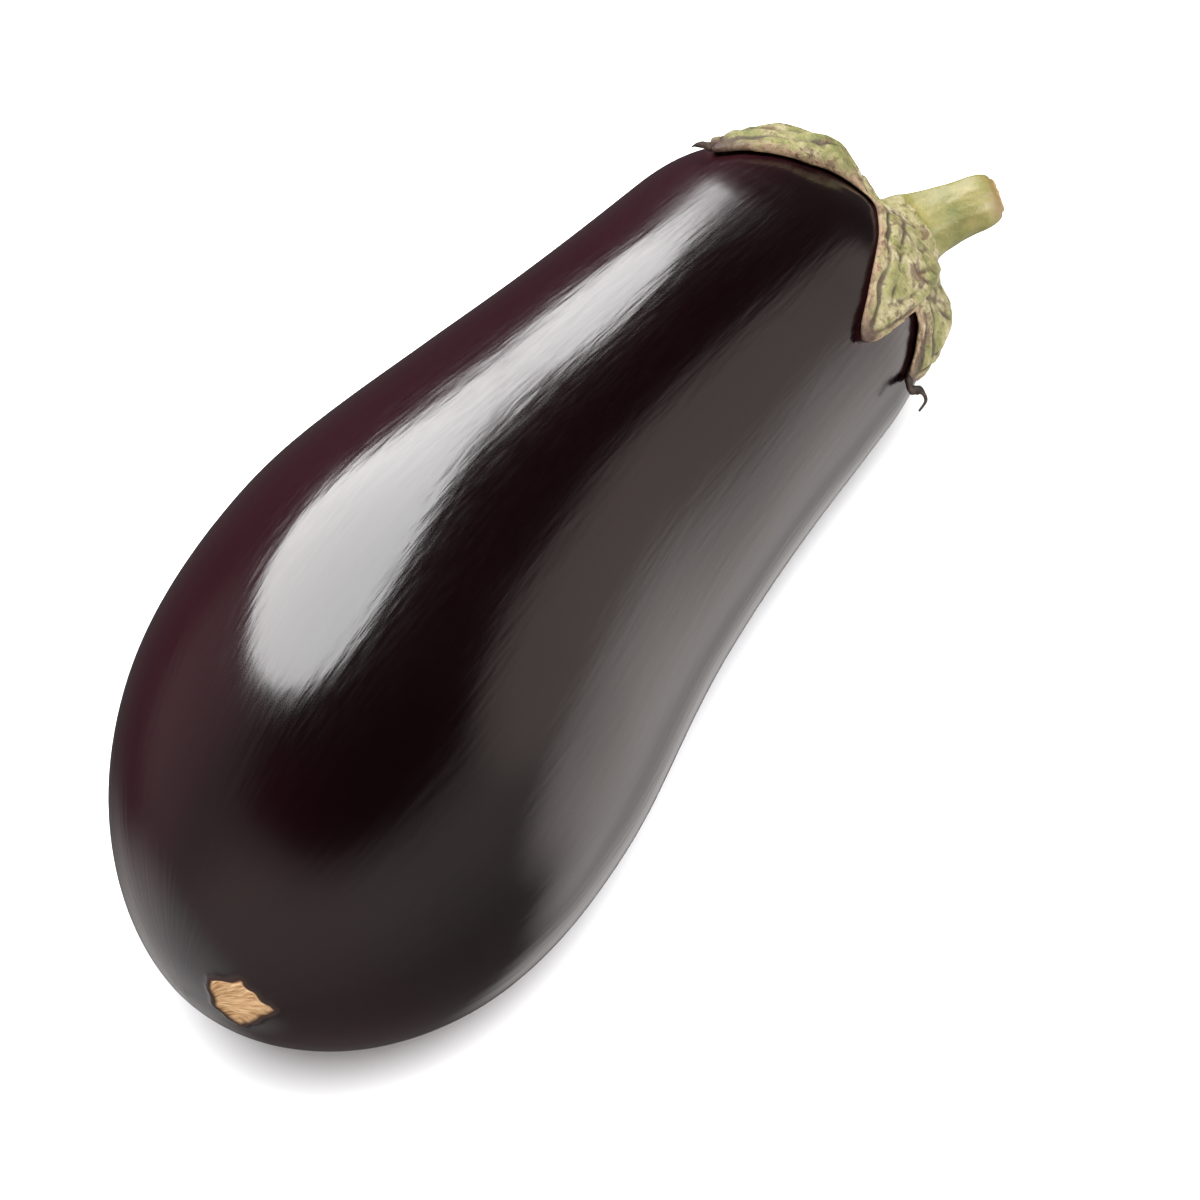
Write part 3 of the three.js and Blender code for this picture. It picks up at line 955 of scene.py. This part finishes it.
# %% A plane with a matt white finish
FLOOR_SIZE = 16
bpy.ops.mesh.primitive_plane_add(size=FLOOR_SIZE, location=(0, 0, 0))
floor = bpy.context.object
floor.name = "floor"
sweep, tree, shader = new_material("matt_white_sweep")
feed(tree, shader, Base_Color=linear("#E5E6E8"), Roughness=0.9, IOR=1.3)
floor.data.materials.append(sweep)
floor.visible_glossy = False

# %% [markdown]
# ## The lamps
#
# A glossy dark fruit shows its surroundings more than its own colour, so the lights are placed for their
# reflections. One big oval softbox, high and behind on the left, gives the bright stripe along the fruit.
# Flaps keep it off the floor. A smaller one, nearly overhead, lights only the floor, and leaves the soft
# shadow under the belly. The third, lower and on the right, opens up the shaded side of the calyx and the
# stem without adding a second stripe to the fruit. In Blender that is light linking: each lamp has a list of
# what it lights.

# %% The three softboxes, placed by compass direction and height
# The point that the lamps face, in metres
LAMPS_FACE = np.array([0.02, 0, 0.05])


def toward(azimuth, elevation):
    a, e = math.radians(azimuth), math.radians(elevation)
    return np.array([math.cos(e) * math.cos(a), math.cos(e) * math.sin(a), math.sin(e)])


def softbox(name, azimuth, elevation, away, width, height, radiance, lit, turn=0.0):
    """An oval lamp that faces the fruit and looks evenly bright. Lengths are in metres."""
    data = bpy.data.lights.new(name, "AREA")
    data.shape, data.size, data.size_y = "ELLIPSE", width, height
    data.energy = radiance * math.pi * math.pi / 4 * width * height
    lamp = bpy.data.objects.new(name, data)
    bpy.context.scene.collection.objects.link(lamp)
    facing = toward(azimuth, elevation)
    level = np.array([-math.sin(math.radians(azimuth)), math.cos(math.radians(azimuth)), 0])
    upward = np.cross(facing, level)
    c, s = math.cos(math.radians(turn)), math.sin(math.radians(turn))
    matrix = np.eye(4)
    matrix[:3, :3] = np.stack([c * level + s * upward, c * upward - s * level, facing], axis=-1)
    matrix[:3, 3] = facing * away + LAMPS_FACE
    lamp.matrix_world = Matrix(matrix.tolist())
    group = bpy.data.collections.new(name + "_lights")
    for piece in lit:
        group.objects.link(piece)
    lamp.light_linking.receiver_collection = group


softbox("key_softbox", azimuth=61.4, elevation=47.8, away=2.2, width=1.96, height=2.82, radiance=13.9,
        lit=[fruit_skin, calyx_cap, stalk, *thread_pieces], turn=-14.4)
softbox("calyx_fill", azimuth=285, elevation=38, away=2.0, width=1.6, height=1.6, radiance=15,
        lit=[calyx_cap, stalk, *thread_pieces])
softbox("floor_softbox", azimuth=285, elevation=74, away=2.0, width=1.7, height=1.7, radiance=24.5,
        lit=[floor])

# %% [markdown]
# ## The room
#
# Pale walls that fade to a dark ceiling give the grey sheen on the near side and the black band beside the
# stripe. Soft-edged cards change the walls, one over another: black ones over the stripe's right and behind
# the fruit, where they keep the far outline dark against the white floor, and white ones at several heights
# on the right and low on the left, which draw the pale edges of the belly.

# %% Walls, ceiling and cards, as brightness by direction
# Walls from straight down to straight up: the height of the direction, -1 to 1, and the brightness there
WALLS = [(-0.9, 0.17), (-0.64, 0.27), (-0.34, 0.5), (0.0, 0.70), (0.26, 0.76), (0.48, 0.70), (0.64, 0.45),
         (0.76, 0.10), (0.84, 0.03), (1.0, 0.02)]
WALL_WARMTH = 0.14
# The ceiling starts lower round this direction, by so much
LOW_CEILING, LOWERED = (262, 40, 5, 60), 0.16
# Each card's direction, its inner and outer angle, its brightness, and how warm it is
CARDS = [
    ((55, 0, 50, 125), 0.07, 0.1),  # the dark back of the room
    ((118, 28, 5, 45), 0.42, 0.1),  # grey, behind on the left
    ((313, 14, 12, 32), 1.25, 0.2),  # white, on the right at eye height
    ((318, -50, 8, 26), 1.9, 0.06),  # white, on the right from below
    ((309, -26, 5, 30), 2.6, 0.1),  # white, on the right and low
    ((2, 46, 12, 28), 0.03, 0.0),  # black, over the stripe's right
    ((150, -30, 10, 36), 1.15, 0.0),  # white, on the left and low
    ((355, -68, 8, 24), 0.95, 0.04),  # white, nearly underneath
    ((110, -47, 6, 22), 0.9, 0.04),  # white, behind on the left from below
    ((70, -26, 22, 42), 0.07, 0.0),  # black, behind the fruit
]
world = bpy.data.worlds.new("studio")
bpy.context.scene.world = world
world.use_nodes = True
tree = world.node_tree
looking = add_node(tree, "TexCoord").outputs["Generated"]
height = add_node(tree, "SeparateXYZ", inputs={0: looking}).outputs["Z"]


def card(azimuth, elevation, inner, outer):
    """1 within the inner angle of a direction, falling to 0 at the outer angle, in degrees."""
    near = add_node(tree, "VectorMath", {"operation": "DOT_PRODUCT"}, {
        0: looking, 1: Vector(toward(azimuth, elevation))}).outputs["Value"]
    return smooth_share(tree, near, math.cos(math.radians(outer)), math.cos(math.radians(inner)))


def grey(value, warmth):
    return (value * (1 + warmth), value, value * (1 - warmth / 3), 1)


bent_height = calculate(tree, "MULTIPLY_ADD", card(*LOW_CEILING), LOWERED, height)
wall_stops = [((1 + z) / 2, grey(value, WALL_WARMTH)) for z, value in WALLS]
lit_room = colour_ramp(tree, spread(tree, bent_height, -1, 1, 0, 1), wall_stops)
for direction, value, warmth in CARDS:
    lit_room = mixed(tree, card(*direction), lit_room, grey(value, warmth))
backdrop = tree.nodes["Background"]
feed(tree, backdrop, Color=lit_room, Strength=1.0)
bpy.context.scene.view_settings.view_transform = "Standard"
